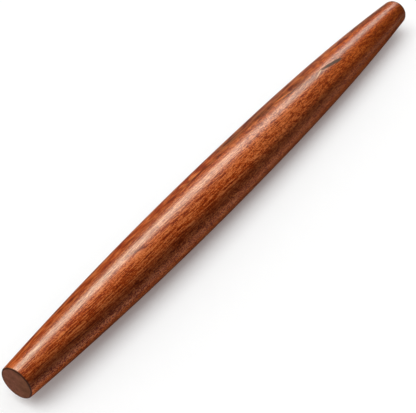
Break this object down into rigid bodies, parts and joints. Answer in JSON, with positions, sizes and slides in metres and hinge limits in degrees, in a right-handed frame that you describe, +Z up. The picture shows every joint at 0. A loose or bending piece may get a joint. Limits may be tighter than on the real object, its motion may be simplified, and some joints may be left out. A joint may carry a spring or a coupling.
{
  "type": "french rolling pin",
  "caption": "Handle-less rolling pin turned from one length of reddish-brown hardwood, thickest in the middle and tapering in a smooth curve to small flat ends with eased edges.",
  "frame": {"origin": "on the worktop under the middle of the pin, where the thickest part of the barrel touches it", "axes": "+X along the turning axis, +Y level across the pin, +Z up from the worktop"},
  "size_m": [0.5, 0.038, 0.038],
  "materials": {
    "oiled_hardwood": "reddish-brown open-pored hardwood with ribbon figure, clear satin finish on the barrel and matte end grain"
  },
  "bodies": {
    "root": {"turned_pin": "oiled_hardwood"}
  },
  "joints": []
}
